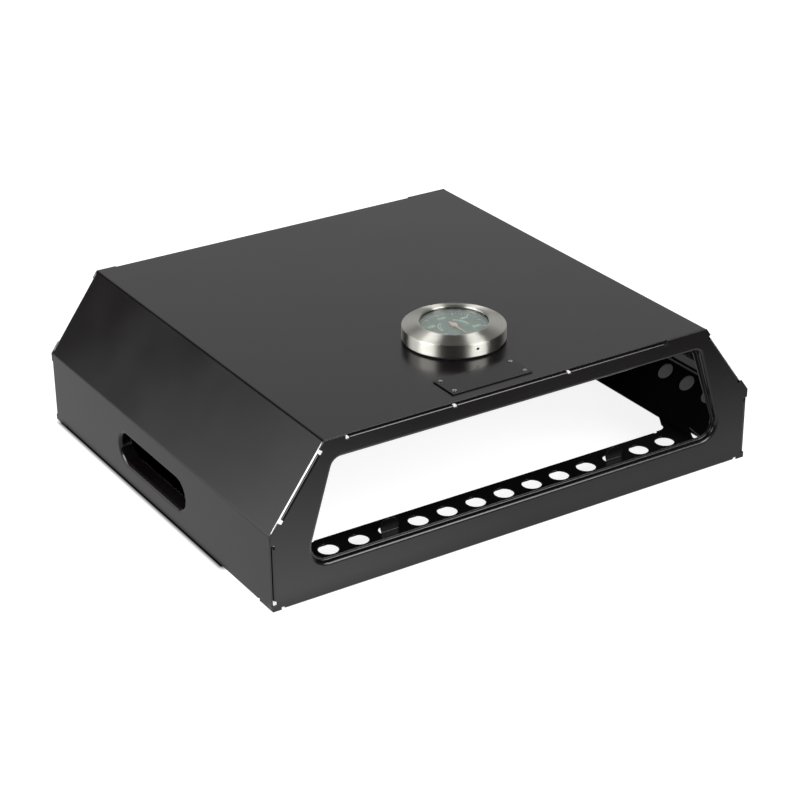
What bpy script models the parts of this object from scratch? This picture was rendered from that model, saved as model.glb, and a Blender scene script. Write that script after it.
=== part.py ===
"""Barbecue pizza oven: a folded sheet-metal hood with an open front, a perforated stone tray
and a dial thermometer screwed through its top.

Metres, +Z up. The origin is the middle of the underside, the mouth looks along -Y and +X is the
cook's right. Each sheet piece is drawn as the surface of its visible face and then thickened.
"""

import math

import bmesh
import bpy
from mathutils import Vector

# Hood: its section across the width is a box with its two upper edges cut off
WIDTH = 0.410
DEPTH = 0.3475
HEIGHT = 0.1172
WALL_HEIGHT = 0.0575
TOP_WIDTH = 0.3234

# Sheet metal, and the play between pieces that touch
SHEET = 0.0012
BEND_RADIUS = 0.0025
BEND_STEPS = 3
PLAY = 0.0003
MERGE_DISTANCE = 0.000003

# Flanges: the tight bend that each folds over, and the relief notches that cut them
FLANGE_RADIUS = 0.0017
NOTCH_LENGTH = 0.0030
NOTCH_RELIEF = 0.0003

# Foot flange along the lower edge of each side wall
FOOT_FLANGE = 0.0080
FOOT_FLANGE_SETBACK = 0.0200

# Hand-hold in each side wall, to the inside of its drawn-in rim
HOLD_LENGTH = 0.1042
HOLD_HEIGHT = 0.0235
HOLD_Y = 0.0044
HOLD_Z = 0.0283
HOLD_RIM_RADIUS = 0.0030
HOLD_RIM_DEPTH_LOW = 0.0122
HOLD_RIM_DEPTH_HIGH = 0.0074
HOLD_STEPS = 8

# End panels: their corners close the ends of the hood, and flanges fold back under it between.
# The top flange is cut twice, at the same share of its length from either end
PANEL_FLANGE = 0.0100
TOP_FLANGE_FROM_RIGHT = 0.0395
TOP_FLANGE_FROM_LEFT = 0.0194
TOP_FLANGE_CUT_SHARE = 0.3185
SLOPE_FLANGE_FROM_SHOULDER = 0.00975
SLOPE_FLANGE_FROM_BEND = 0.0139
WALL_FLANGE_FROM_FOOT = 0.0077
WALL_FLANGE_FROM_BEND = 0.0097
FOOT_FLANGE_END = 0.0100

# Mouth of the front panel, to the inside of its drawn lip. Its sides keep a distance from the
# wall at the floor of the mouth and from the shoulder at its roof
MOUTH_X = 0.0012
MOUTH_FLOOR = 0.0249
MOUTH_LINTEL = 0.0154
MOUTH_FROM_WALL = 0.0256
MOUTH_FROM_SHOULDER = 0.0059
MOUTH_RADIUS_LOW = 0.0135
MOUTH_RADIUS_HIGH = 0.0080
MOUTH_CORNER_STEPS = 6
LIP_RADIUS = 0.0028
LIP_DEPTH_LOW = 0.0040
LIP_DEPTH_HIGH = 0.0070
LIP_RIM_LOW = 0.0017
LIP_RIM_HIGH = 0.0029
LIP_RIM_BEND = 0.0006

# Stone tray: two ledges joined by two sloping wings
TRAY_Z = 0.0195
TRAY_FROM_PANELS = 0.01125
WING_REACH = 0.0362
LEDGE_DEPTH = 0.02925
WINDOW_RADIUS = 0.0075
WINDOW_CORNER_STEPS = 5
WINDOW_CORNER_INSET = 0.0060
WINDOW_CORNER_SLANT = 0.0105
LEDGE_FLANGE = 0.0070
LEDGE_FLANGE_SETBACK = 0.0060
WING_ANGLE = math.radians(40)
WING_WELD_FLANGE = 0.0020
VENT_RADIUS = 0.0074
VENT_STEPS = 16
LEDGE_VENT_PITCH = 0.0245
LEDGE_VENT_FROM_EDGE = 0.0128
LEDGE_VENT_MARGIN = 0.0040
TONGUE_PLACES_FROM_END = 2
TONGUE_ROOT = 0.0027
TONGUE_RADIUS = 0.0010
WING_VENT_RADIUS = 0.0067
WING_VENT_PITCH = 0.0261
WING_VENT_MARGIN = 0.0040
WING_VENT_RISE = 0.0341
WING_VENT_Y = 0.0024
RELIEF_START = 0.0060
RELIEF_REACH = 0.0160
RELIEF_RISE = 0.0050
RELIEF_MOUTH = 0.0032

# Nameplate on the top, and its rivets
PLATE_LENGTH = 0.0666
PLATE_WIDTH = 0.0251
PLATE_THICKNESS = 0.0008
PLATE_X = -0.0202
PLATE_FROM_FRONT = 0.02275
RIVET_MARGIN = 0.0038
RIVET_HEAD_RADIUS = 0.0016
RIVET_HEAD_HEIGHT = 0.0008
RIVET_SHANK_RADIUS = 0.0009
RIVET_TAIL_RADIUS = 0.0014
RIVET_TAIL_HEIGHT = 0.0008
RIVET_STEPS = 16

# Thermometer: its heights are above the top of the hood, its radii about its own axis
THERMOMETER_X = -0.0005
THERMOMETER_FROM_FRONT = 0.08865
ROUND_STEPS = 40
SMALL_ROUND_STEPS = 20
GASKET_RADIUS = 0.0374
GASKET_WIDTH = 0.0060
GASKET_THICKNESS = 0.0008
BEZEL_RADIUS = 0.0380
BEZEL_WALL = 0.0008
BEZEL_SHOULDER = 0.0112
BEZEL_SHOULDER_ROUND = 0.0007
BEZEL_SHOULDER_STEPS = 2
BEZEL_RIM_RADIUS = 0.0272
BEZEL_RIM_HEIGHT = 0.0144
BEZEL_RIM_ROUND = 0.0006
BEZEL_MOUTH_RADIUS = 0.0252
BEZEL_VENT_RADIUS = 0.0011
BEZEL_VENT_ANGLE = math.radians(-97)
BEZEL_VENT_HEIGHT = 0.0072
CUT_OVERRUN = 0.0010
LENS_RADIUS = 0.0270
LENS_THICKNESS = 0.0020
SEAL_WIDTH = 0.0010
SEAL_THICKNESS = 0.0005
CASE_WALL = 0.0008
CASE_BORE_RADIUS = 0.0260
DIAL_DEPTH = 0.0050
DIAL_THICKNESS = 0.0006
DIAL_HOLE_RADIUS = 0.0018
DIAL_RING_WALL = 0.0012
COLLAR_RADIUS = 0.0080
COLLAR_THICKNESS = 0.0011
SHANK_RADIUS = 0.0047
SHANK_BORE_RADIUS = 0.0033
SHANK_LENGTH = 0.0135
THREAD_PITCH = 0.0015
THREAD_DEPTH = 0.0005
BUSH_FLANGE_RADIUS = 0.0045
BUSH_FLANGE_THICKNESS = 0.0008
BUSH_LENGTH = 0.0045
WASHER_RADIUS = 0.0100
WASHER_THICKNESS = 0.0012
NUT_ACROSS_FLATS = 0.0170
NUT_THICKNESS = 0.0050
PROBE_WALL = 0.0006
PROBE_INSERTION = 0.0080
PROBE_REACH = 0.0470
SPINDLE_RADIUS = 0.0007
COIL_RADIUS = 0.0014
COIL_STRIP = 0.0007
COIL_PITCH = 0.0016
COIL_TURNS = 8
COIL_POINTS_PER_TURN = 9
POINTER_LENGTH = 0.0175
POINTER_TAIL = 0.0060
POINTER_HUB_RADIUS = 0.0024
POINTER_ROOT_WIDTH = 0.0022
POINTER_TIP_WIDTH = 0.0006
POINTER_THICKNESS = 0.0005
POINTER_LIFT = 0.0012
HUB_STEPS = 16

# Places that follow from the sizes above
FRONT_Y = -DEPTH / 2
BACK_Y = DEPTH / 2
SHEET_SEAT = SHEET + PLAY
CASING_END_Y = BACK_Y - SHEET_SEAT
THERMOMETER_Y = FRONT_Y + THERMOMETER_FROM_FRONT
PLATE_Y = FRONT_Y + PLATE_FROM_FRONT
MOUTH_ROOF = HEIGHT - MOUTH_LINTEL
MOUTH_HALF_WIDTH_LOW = WIDTH / 2 - MOUTH_FROM_WALL
MOUTH_HALF_WIDTH_HIGH = TOP_WIDTH / 2 - MOUTH_FROM_SHOULDER
TRAY_EDGE_Y = BACK_Y - TRAY_FROM_PANELS
TRAY_FOLD_X = WIDTH / 2 - WING_REACH
WINDOW_EDGE_Y = TRAY_EDGE_Y - LEDGE_DEPTH
WINDOW_FREE_Y = WINDOW_EDGE_Y - WINDOW_RADIUS - WINDOW_CORNER_SLANT
LEDGE_VENT_Y = TRAY_EDGE_Y - LEDGE_VENT_FROM_EDGE


def clear_scene():
    for item in list(bpy.data.objects):
        bpy.data.objects.remove(item, do_unlink=True)


def material(name, colour, roughness, metallic):
    made = bpy.data.materials.new(name)
    made.use_nodes = True
    shader = made.node_tree.nodes["Principled BSDF"]
    shader.inputs["Base Color"].default_value = (*colour, 1)
    shader.inputs["Roughness"].default_value = roughness
    shader.inputs["Metallic"].default_value = metallic
    return made


def placed(name, mesh, finish, parent=None):
    """The object made of a bmesh, smooth where its faces meet at a shallow angle."""
    data = bpy.data.meshes.new(name)
    mesh.to_mesh(data)
    mesh.free()
    data.materials.append(finish)
    data.shade_smooth()
    data.set_sharp_from_angle(angle=math.radians(40))
    made = bpy.data.objects.new(name, data)
    bpy.context.scene.collection.objects.link(made)
    made.parent = parent
    return made


def arc(centre, radius, start, end, steps):
    """Points of an arc in a plane, from the start angle to the end angle."""
    turn = (end - start) / steps
    angles = [start + turn * step for step in range(steps + 1)]
    return [(centre[0] + radius * math.cos(a), centre[1] + radius * math.sin(a)) for a in angles]


def circle_point(radius, angle):
    return radius * math.cos(angle), radius * math.sin(angle)


def circle(x, y, radius, steps):
    return arc((x, y), radius, 0, math.tau, steps)[:-1]


def fillet(before, corner, after, radius, steps):
    """The arc that rounds one corner of a flat outline."""
    corner = Vector(corner)
    back = (Vector(before) - corner).normalized()
    on = (Vector(after) - corner).normalized()
    half = back.angle(on) / 2
    centre = corner + (back + on).normalized() * (radius / math.sin(half))
    start = corner + back * (radius / math.tan(half)) - centre
    end = corner + on * (radius / math.tan(half)) - centre
    first = math.atan2(start.y, start.x)
    sweep = math.remainder(math.atan2(end.y, end.x) - first, math.tau)
    return arc(centre, radius, first, first + sweep, steps)


def rounded_outline(corners, radii, steps):
    """A closed flat outline with each corner rounded by its own radius."""
    points = []
    for i, corner in enumerate(corners):
        after = corners[(i + 1) % len(corners)]
        points += fillet(corners[i - 1], corner, after, radii[i], steps)
    return points


def stadium(length, height, steps):
    """A slot with round ends, centred on zero."""
    radius = height / 2
    reach = length / 2 - radius
    right = arc((reach, 0), radius, -math.pi / 2, math.pi / 2, steps)
    left = arc((-reach, 0), radius, math.pi / 2, 3 * math.pi / 2, steps)
    return right + left


class Sheet:
    """A folded sheet, drawn as one of its two faces."""

    def __init__(self):
        self.mesh = bmesh.new()

    def face(self, points):
        self.mesh.faces.new([self.mesh.verts.new(point) for point in points])

    def strip(self, first, second, closed=False):
        """Quads between two rows that hold as many points."""
        for i in range(0 if closed else 1, len(first)):
            self.face((first[i - 1], first[i], second[i], second[i - 1]))

    def flat(self, outline, holes, normal):
        """A flat panel with holes in it."""
        edges = []
        for loop in (outline, *holes):
            verts = [self.mesh.verts.new(point) for point in loop]
            edges += [self.mesh.edges.new((verts[i - 1], verts[i])) for i in range(len(verts))]
        bmesh.ops.triangle_fill(self.mesh, use_beauty=True, edges=edges, normal=normal)

    def bend(self, start, end, across, turn, radius):
        """A right-angled bend along an edge, which leaves along across and ends along turn.
        Returns the far edge of the bend."""
        rows = []
        for step in range(BEND_STEPS + 1):
            angle = math.pi / 2 * step / BEND_STEPS
            moved = across * radius * math.sin(angle) + turn * radius * (1 - math.cos(angle))
            rows.append((start + moved, end + moved))
        for first, second in zip(rows, rows[1:]):
            self.strip(first, second)
        return rows[-1]

    def flanged_edge(self, corners, run, inward, turn, length, seat=0, cuts=()):
        """Points along the straight edge between two corners. The edge folds over along a run,
        given as distances from the first corner, and the fold lies inside the edge by the seat.
        Relief notches cut the fold at both ends of the run and at each cut."""
        start, end = corners
        along = (end - start).normalized()
        fold = seat + FLANGE_RADIUS
        floor = fold + NOTCH_RELIEF

        def place(distance, depth):
            return start + along * distance + inward * depth

        first, last = run
        points = [start, place(first - NOTCH_LENGTH, 0), place(first - NOTCH_LENGTH, floor)]
        middles = (first - NOTCH_LENGTH / 2, *cuts, last + NOTCH_LENGTH / 2)
        for before, after in zip(middles, middles[1:]):
            ends = (before + NOTCH_LENGTH / 2, after - NOTCH_LENGTH / 2)
            edge = [place(distance, fold) for distance in ends]
            points += [place(ends[0], floor), *edge, place(ends[1], floor)]
            edge = self.bend(*edge, -inward, turn, FLANGE_RADIUS)
            self.strip(edge, [point + turn * (length - FLANGE_RADIUS) for point in edge])
        return [*points, place(last + NOTCH_LENGTH, floor), place(last + NOTCH_LENGTH, 0)]

    def finish(self, name, finish, near, facing):
        """Thickens the sheet behind the face that lies nearest to a point and looks the given way."""
        bmesh.ops.remove_doubles(self.mesh, verts=self.mesh.verts, dist=MERGE_DISTANCE)
        bmesh.ops.recalc_face_normals(self.mesh, faces=self.mesh.faces)
        nearest = min(self.mesh.faces, key=lambda f: (f.calc_center_median() - Vector(near)).length)
        if nearest.normal.dot(Vector(facing)) < 0:
            bmesh.ops.reverse_faces(self.mesh, faces=self.mesh.faces)
        made = placed(name, self.mesh, finish)
        wall = made.modifiers.new("wall", "SOLIDIFY")
        wall.thickness = SHEET
        wall.offset = -1
        wall.use_even_offset = True
        return made


def turned(name, profile, finish, parent, steps=ROUND_STEPS):
    """A solid of revolution about its own Z axis, from a closed profile of radius and height."""
    mesh = bmesh.new()
    rings = []
    for radius, height in profile:
        if radius == 0:
            rings.append([mesh.verts.new((0, 0, height))] * steps)
        else:
            rings.append([mesh.verts.new((x, y, height)) for x, y in circle(0, 0, radius, steps)])
    for i, ring in enumerate(rings):
        before = rings[i - 1]
        for j in range(steps):
            corners = dict.fromkeys((before[j - 1], before[j], ring[j], ring[j - 1]))
            if len(corners) > 2:
                mesh.faces.new(corners)
    bmesh.ops.recalc_face_normals(mesh, faces=mesh.faces)
    return placed(name, mesh, finish, parent)


def slab(name, outline, holes, bottom, thickness, finish, parent=None):
    """A flat plate with holes, of one thickness."""
    mesh = bmesh.new()
    edges = []
    for loop in (outline, *holes):
        verts = [mesh.verts.new((x, y, bottom)) for x, y in loop]
        edges += [mesh.edges.new((verts[i - 1], verts[i])) for i in range(len(verts))]
    bmesh.ops.triangle_fill(mesh, use_beauty=True, edges=edges, normal=(0, 0, 1))
    raised = bmesh.ops.extrude_face_region(mesh, geom=mesh.faces[:])["geom"]
    tops = [item for item in raised if isinstance(item, bmesh.types.BMVert)]
    bmesh.ops.translate(mesh, verts=tops, vec=(0, 0, thickness))
    bmesh.ops.recalc_face_normals(mesh, faces=mesh.faces)
    return placed(name, mesh, finish, parent)


def hood_section(inset):
    """The right foot, bend and shoulder of the hood's section, moved inwards."""
    slope = Vector((WIDTH - TOP_WIDTH, 2 * (HEIGHT - WALL_HEIGHT))).normalized()
    bend_z = WALL_HEIGHT - inset * (1 - slope.y) / slope.x
    shoulder_x = TOP_WIDTH / 2 - inset * (1 - slope.x) / slope.y
    side = WIDTH / 2 - inset
    return (side, 0), (side, bend_z), (shoulder_x, HEIGHT - inset)


def casing(finish):
    """The hood: two walls, two slopes and a top, folded from one sheet."""
    sheet = Sheet()
    foot, bend, shoulder = hood_section(0)
    other_shoulder = (-shoulder[0], shoulder[1])
    low = fillet(foot, bend, shoulder, BEND_RADIUS, BEND_STEPS)
    high = fillet(bend, shoulder, other_shoulder, BEND_RADIUS, BEND_STEPS)
    ends = (-CASING_END_Y, CASING_END_Y)
    foot_run = (FOOT_FLANGE_SETBACK, 2 * CASING_END_Y - FOOT_FLANGE_SETBACK)
    for side in (-1, 1):
        wall_x = side * WIDTH / 2
        inwards = Vector((-side, 0, 0))
        feet = [Vector((wall_x, y, 0)) for y in ends]
        outline = sheet.flanged_edge(feet, foot_run, Vector((0, 0, 1)), inwards, FOOT_FLANGE)
        outline += [feet[1], *(Vector((wall_x, y, low[0][1])) for y in reversed(ends))]
        rows = hold_rows(wall_x, inwards)
        sheet.flat(outline, [rows[0]], (side, 0, 0))
        for first, second in zip(rows, rows[1:]):
            sheet.strip(first, second, closed=True)
        for bent in (low, high, (low[-1], high[0])):
            front, back = ([(side * x, y, z) for x, z in bent] for y in ends)
            sheet.strip(front, back)
    edge = high[-1][0]
    corners = [(-edge, ends[0]), (edge, ends[0]), (edge, ends[1]), (-edge, ends[1])]
    top = [(x, y, HEIGHT) for x, y in corners]
    holes = [circle(THERMOMETER_X, THERMOMETER_Y, SHANK_RADIUS + PLAY, SMALL_ROUND_STEPS)]
    holes += [circle(x, y, RIVET_SHANK_RADIUS + PLAY, RIVET_STEPS) for x, y in rivet_places()]
    sheet.flat(top, [[(x, y, HEIGHT) for x, y in hole] for hole in holes], (0, 0, 1))
    return sheet.finish("casing", finish, (0, 0, HEIGHT), (0, 0, 1))


def hold_rows(wall_x, inwards):
    """Rows of points from the wall's face, round the drawn edge and along the rim of a hand-hold."""
    rows = []
    for step in range(BEND_STEPS + 1):
        angle = math.pi / 2 * step / BEND_STEPS
        spread = HOLD_RIM_RADIUS * (1 - math.sin(angle))
        depth = HOLD_RIM_RADIUS * (1 - math.cos(angle))
        slot = stadium(HOLD_LENGTH + 2 * spread, HOLD_HEIGHT + 2 * spread, HOLD_STEPS)
        rows.append([Vector((wall_x, HOLD_Y + y, HOLD_Z + z)) + inwards * depth for y, z in slot])
    rim = []
    for y, z in stadium(HOLD_LENGTH, HOLD_HEIGHT, HOLD_STEPS):
        share = z / HOLD_HEIGHT + 1 / 2
        depth = HOLD_RIM_DEPTH_LOW + (HOLD_RIM_DEPTH_HIGH - HOLD_RIM_DEPTH_LOW) * share
        rim.append(Vector((wall_x, HOLD_Y + y, HOLD_Z + z)) + inwards * depth)
    return [*rows, rim]


def mouth_row(spread, depth):
    """Points round the mouth, spread beyond its lip, at a depth that is a function of height."""
    slope = Vector((MOUTH_HALF_WIDTH_LOW - MOUTH_HALF_WIDTH_HIGH, MOUTH_ROOF - MOUTH_FLOOR)).normalized()
    low_x = MOUTH_HALF_WIDTH_LOW + spread * (1 + slope.x) / slope.y
    high_x = MOUTH_HALF_WIDTH_HIGH + spread * (1 - slope.x) / slope.y
    low_z, high_z = MOUTH_FLOOR - spread, MOUTH_ROOF + spread
    corners = [(-low_x, low_z), (low_x, low_z), (high_x, high_z), (-high_x, high_z)]
    lip_radii = (MOUTH_RADIUS_LOW, MOUTH_RADIUS_LOW, MOUTH_RADIUS_HIGH, MOUTH_RADIUS_HIGH)
    radii = [radius + spread for radius in lip_radii]
    outline = rounded_outline(corners, radii, MOUTH_CORNER_STEPS)
    return [Vector((MOUTH_X + x, FRONT_Y + depth(z), z)) for x, z in outline]


def mouth_height_share(z):
    return min(1, max(0, (z - MOUTH_FLOOR) / (MOUTH_ROOF - MOUTH_FLOOR)))


def lip_depth(z):
    return LIP_DEPTH_LOW + (LIP_DEPTH_HIGH - LIP_DEPTH_LOW) * mouth_height_share(z)


def mouth_rows():
    """Rows from the panel's face, round the drawn edge, along the lip and over its turned rim."""
    rows = []
    for step in range(BEND_STEPS + 1):
        angle = math.pi / 2 * step / BEND_STEPS
        depth = LIP_RADIUS * (1 - math.cos(angle))
        rows.append(mouth_row(LIP_RADIUS * (1 - math.sin(angle)), lambda z, depth=depth: depth))
    rows.append(mouth_row(0, lambda z: lip_depth(z) - LIP_RIM_BEND))
    rows.append(mouth_row(-LIP_RIM_BEND, lip_depth))
    narrow, wide = (mouth_row(-rim, lip_depth) for rim in (LIP_RIM_LOW, LIP_RIM_HIGH))
    rows.append([a.lerp(b, mouth_height_share(a.z)) for a, b in zip(narrow, wide)])
    return rows


def panel_outline(sheet, y, turn):
    """The edge of an end panel, with its flanges folded along turn to lie inside the hood."""
    foot, bend, shoulder = (Vector((x, y, z)) for x, z in hood_section(0))
    mirrored = [Vector((-point.x, point.y, point.z)) for point in (shoulder, bend, foot)]
    corners = [foot, bend, shoulder, *mirrored]
    slope_length = (shoulder - bend).length
    wall = (WALL_FLANGE_FROM_FOOT, WALL_HEIGHT - WALL_FLANGE_FROM_BEND)
    slope = (SLOPE_FLANGE_FROM_BEND, slope_length - SLOPE_FLANGE_FROM_SHOULDER)
    top = (TOP_FLANGE_FROM_RIGHT, TOP_WIDTH - TOP_FLANGE_FROM_LEFT)
    cut = (top[1] - top[0]) * TOP_FLANGE_CUT_SHARE
    edges = [
        (wall, SHEET_SEAT, ()),
        (slope, SHEET_SEAT, ()),
        (top, SHEET_SEAT, (top[0] + cut, top[1] - cut)),
        ([slope_length - distance for distance in reversed(slope)], SHEET_SEAT, ()),
        ([WALL_HEIGHT - distance for distance in reversed(wall)], SHEET_SEAT, ()),
        ((FOOT_FLANGE_END, WIDTH - FOOT_FLANGE_END), 0, ()),
    ]
    outline = []
    for i, (run, seat, edge_cuts) in enumerate(edges):
        ends = (corners[i], corners[(i + 1) % len(corners)])
        inward = (ends[1] - ends[0]).normalized().cross(Vector((0, 1, 0)))
        inward *= -1 if inward.dot(Vector((0, 0, HEIGHT / 2)) - (ends[0] + ends[1]) / 2) < 0 else 1
        outline += sheet.flanged_edge(ends, run, inward, turn, PANEL_FLANGE, seat, edge_cuts)
    return outline


def front_panel(finish):
    sheet = Sheet()
    rows = mouth_rows()
    sheet.flat(panel_outline(sheet, FRONT_Y, Vector((0, 1, 0))), [rows[0]], (0, -1, 0))
    for first, second in zip(rows, rows[1:]):
        sheet.strip(first, second, closed=True)
    return sheet.finish("front_panel", finish, (0, FRONT_Y, 0), (0, -1, 0))


def rear_panel(finish):
    sheet = Sheet()
    sheet.flat(panel_outline(sheet, BACK_Y, Vector((0, -1, 0))), [], (0, 1, 0))
    return sheet.finish("rear_panel", finish, (0, BACK_Y, HEIGHT / 2), (0, 1, 0))


def ledge(sheet, end):
    """One perforated ledge at the front or back end, from fold to fold, with its two tongues."""
    down = Vector((0, 0, -1))
    outward = Vector((0, end, 0))
    corners = [Vector((x, end * TRAY_EDGE_Y, TRAY_Z)) for x in (-TRAY_FOLD_X, TRAY_FOLD_X)]
    run = (LEDGE_FLANGE_SETBACK, 2 * TRAY_FOLD_X - LEDGE_FLANGE_SETBACK)
    outline = sheet.flanged_edge(corners, run, -outward, down, LEDGE_FLANGE)
    inner_x = TRAY_FOLD_X - WINDOW_CORNER_INSET - WINDOW_RADIUS
    round_y = WINDOW_EDGE_Y - WINDOW_RADIUS
    corner = arc((inner_x, round_y), WINDOW_RADIUS, 0, math.pi / 2, WINDOW_CORNER_STEPS)
    fold = [(TRAY_FOLD_X, y) for y in (TRAY_EDGE_Y, TRAY_EDGE_Y - RELIEF_START, WINDOW_FREE_Y)]
    right = [*fold, *corner]
    outline += [Vector((x, end * y, TRAY_Z)) for x, y in right]
    inner = [Vector((x, end * WINDOW_EDGE_Y, TRAY_Z)) for x in (inner_x, -inner_x)]
    inner_run = (LEDGE_FLANGE_SETBACK, 2 * inner_x - LEDGE_FLANGE_SETBACK)
    outline += sheet.flanged_edge(inner, inner_run, outward, down, LEDGE_FLANGE)
    outline += [Vector((-x, end * y, TRAY_Z)) for x, y in reversed(right[1:])]
    holes = []
    last = int((TRAY_FOLD_X - VENT_RADIUS - LEDGE_VENT_MARGIN) / LEDGE_VENT_PITCH)
    for place in range(-last, last + 1):
        x = place * LEDGE_VENT_PITCH
        if abs(place) == last - TONGUE_PLACES_FROM_END:
            holes.append(tongue(sheet, x, end))
        else:
            hole = circle(x, end * LEDGE_VENT_Y, VENT_RADIUS, VENT_STEPS)
            holes.append([Vector((a, b, TRAY_Z)) for a, b in hole])
    sheet.flat(outline, holes, (0, 0, 1))


def tongue(sheet, x, end):
    """A vent whose disc stays on by its outer side and is bent upright to stop the stone.
    Returns the outline of the hole."""
    root_angle = math.asin(TONGUE_ROOT / VENT_RADIUS)
    rim = arc((0, 0), VENT_RADIUS, -root_angle, math.pi + root_angle, VENT_STEPS)
    hole = [Vector((x + a, end * (LEDGE_VENT_Y - b), TRAY_Z)) for a, b in rim]
    up = Vector((0, 0, 1))
    foot = sheet.bend(hole[0], hole[-1], Vector((0, -end, 0)), up, TONGUE_RADIUS)
    disc = arc((0, TONGUE_ROOT), VENT_RADIUS, 0, math.pi, VENT_STEPS)
    stand_y = foot[0].y
    sheet.face([*reversed(foot), *(Vector((x + a, stand_y, TRAY_Z + b)) for a, b in disc)])
    return hole


def wing(sheet, side):
    """One sloping wing, from its fold at the ledges up to the weld flange on the wall."""
    up_slope = Vector((side * math.cos(WING_ANGLE), 0, math.sin(WING_ANGLE)))
    wall_x = WIDTH / 2 - SHEET_SEAT - SHEET
    rise = (wall_x - TRAY_FOLD_X) / math.cos(WING_ANGLE)

    def on_wing(distance, y):
        return Vector((side * TRAY_FOLD_X, y, TRAY_Z)) + up_slope * distance

    half_outline = [
        (0, WINDOW_FREE_Y),
        (0, TRAY_EDGE_Y - RELIEF_START),
        (RELIEF_RISE, TRAY_EDGE_Y - RELIEF_REACH),
        (RELIEF_MOUTH, TRAY_EDGE_Y),
        (rise, TRAY_EDGE_Y),
    ]
    outline = [on_wing(distance, y) for distance, y in half_outline]
    outline += [on_wing(distance, -y) for distance, y in reversed(half_outline)]
    holes = []
    count = int(2 * (TRAY_EDGE_Y - WING_VENT_MARGIN) / WING_VENT_PITCH)
    for number in range(count):
        middle = WING_VENT_Y + (number - (count - 1) / 2) * WING_VENT_PITCH
        hole = circle(WING_VENT_RISE, middle, WING_VENT_RADIUS, VENT_STEPS)
        holes.append([on_wing(distance, y) for distance, y in hole])
    sheet.flat(outline, holes, Vector((0, side, 0)).cross(up_slope) * -1)
    foot = [on_wing(rise, y) for y in (-TRAY_EDGE_Y, TRAY_EDGE_Y)]
    sheet.strip(foot, [point + Vector((0, 0, WING_WELD_FLANGE)) for point in foot])


def stone_tray(finish):
    sheet = Sheet()
    for end in (-1, 1):
        ledge(sheet, end)
    for side in (-1, 1):
        wing(sheet, side)
    return sheet.finish("stone_tray", finish, (0, LEDGE_VENT_Y, TRAY_Z), (0, 0, 1))


def rivet_places():
    """Centres of the nameplate's rivets, seen from above."""
    reach_x = PLATE_LENGTH / 2 - RIVET_MARGIN
    reach_y = PLATE_WIDTH / 2 - RIVET_MARGIN
    return [(PLATE_X + i * reach_x, PLATE_Y + j * reach_y) for j in (-1, 1) for i in (-1, 1)]


def nameplate(plate_finish, rivet_finish):
    """A bare plate on the top of the hood, held by four rivets through the sheet."""
    signs = ((-1, -1), (1, -1), (1, 1), (-1, 1))
    corners = [(PLATE_X + i * PLATE_LENGTH / 2, PLATE_Y + j * PLATE_WIDTH / 2) for i, j in signs]
    holes = [circle(x, y, RIVET_SHANK_RADIUS + PLAY, RIVET_STEPS) for x, y in rivet_places()]
    slab("nameplate", corners, holes, HEIGHT + PLAY, PLATE_THICKNESS, plate_finish)
    seat = PLAY + PLATE_THICKNESS + PLAY
    tail = -SHEET - PLAY
    rises = (math.pi / 3, math.pi / 6, 0)
    dome = [(RIVET_HEAD_RADIUS * math.cos(a), seat + RIVET_HEAD_HEIGHT * math.sin(a)) for a in rises]
    profile = [
        (0, seat + RIVET_HEAD_HEIGHT),
        *dome,
        (RIVET_SHANK_RADIUS, seat),
        (RIVET_SHANK_RADIUS, tail),
        (RIVET_TAIL_RADIUS, tail),
        (RIVET_TAIL_RADIUS, tail - RIVET_TAIL_HEIGHT),
        (0, tail - RIVET_TAIL_HEIGHT),
    ]
    for number, (x, y) in enumerate(rivet_places(), 1):
        rivet = turned(f"nameplate_rivet_{number}", profile, rivet_finish, None, RIVET_STEPS)
        rivet.location = (x, y, HEIGHT)


def thermometer_heights():
    """Heights of the stacked thermometer pieces above the top of the hood."""
    lens_top = BEZEL_RIM_HEIGHT - BEZEL_WALL - PLAY - BEZEL_RIM_ROUND / 2
    lens_bottom = lens_top - LENS_THICKNESS
    seal_top = lens_bottom - PLAY
    seal_bottom = seal_top - SEAL_THICKNESS
    return {
        "skirt": PLAY + GASKET_THICKNESS + PLAY,
        "lens_top": lens_top,
        "lens_bottom": lens_bottom,
        "seal_top": seal_top,
        "seal_bottom": seal_bottom,
        "case_flange": seal_bottom - PLAY,
        "dial_top": lens_top - DIAL_DEPTH,
        "collar_top": PLAY + COLLAR_THICKNESS,
        "case_bottom": PLAY + COLLAR_THICKNESS + PLAY,
        "case_floor": PLAY + COLLAR_THICKNESS + PLAY + CASE_WALL,
    }


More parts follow.
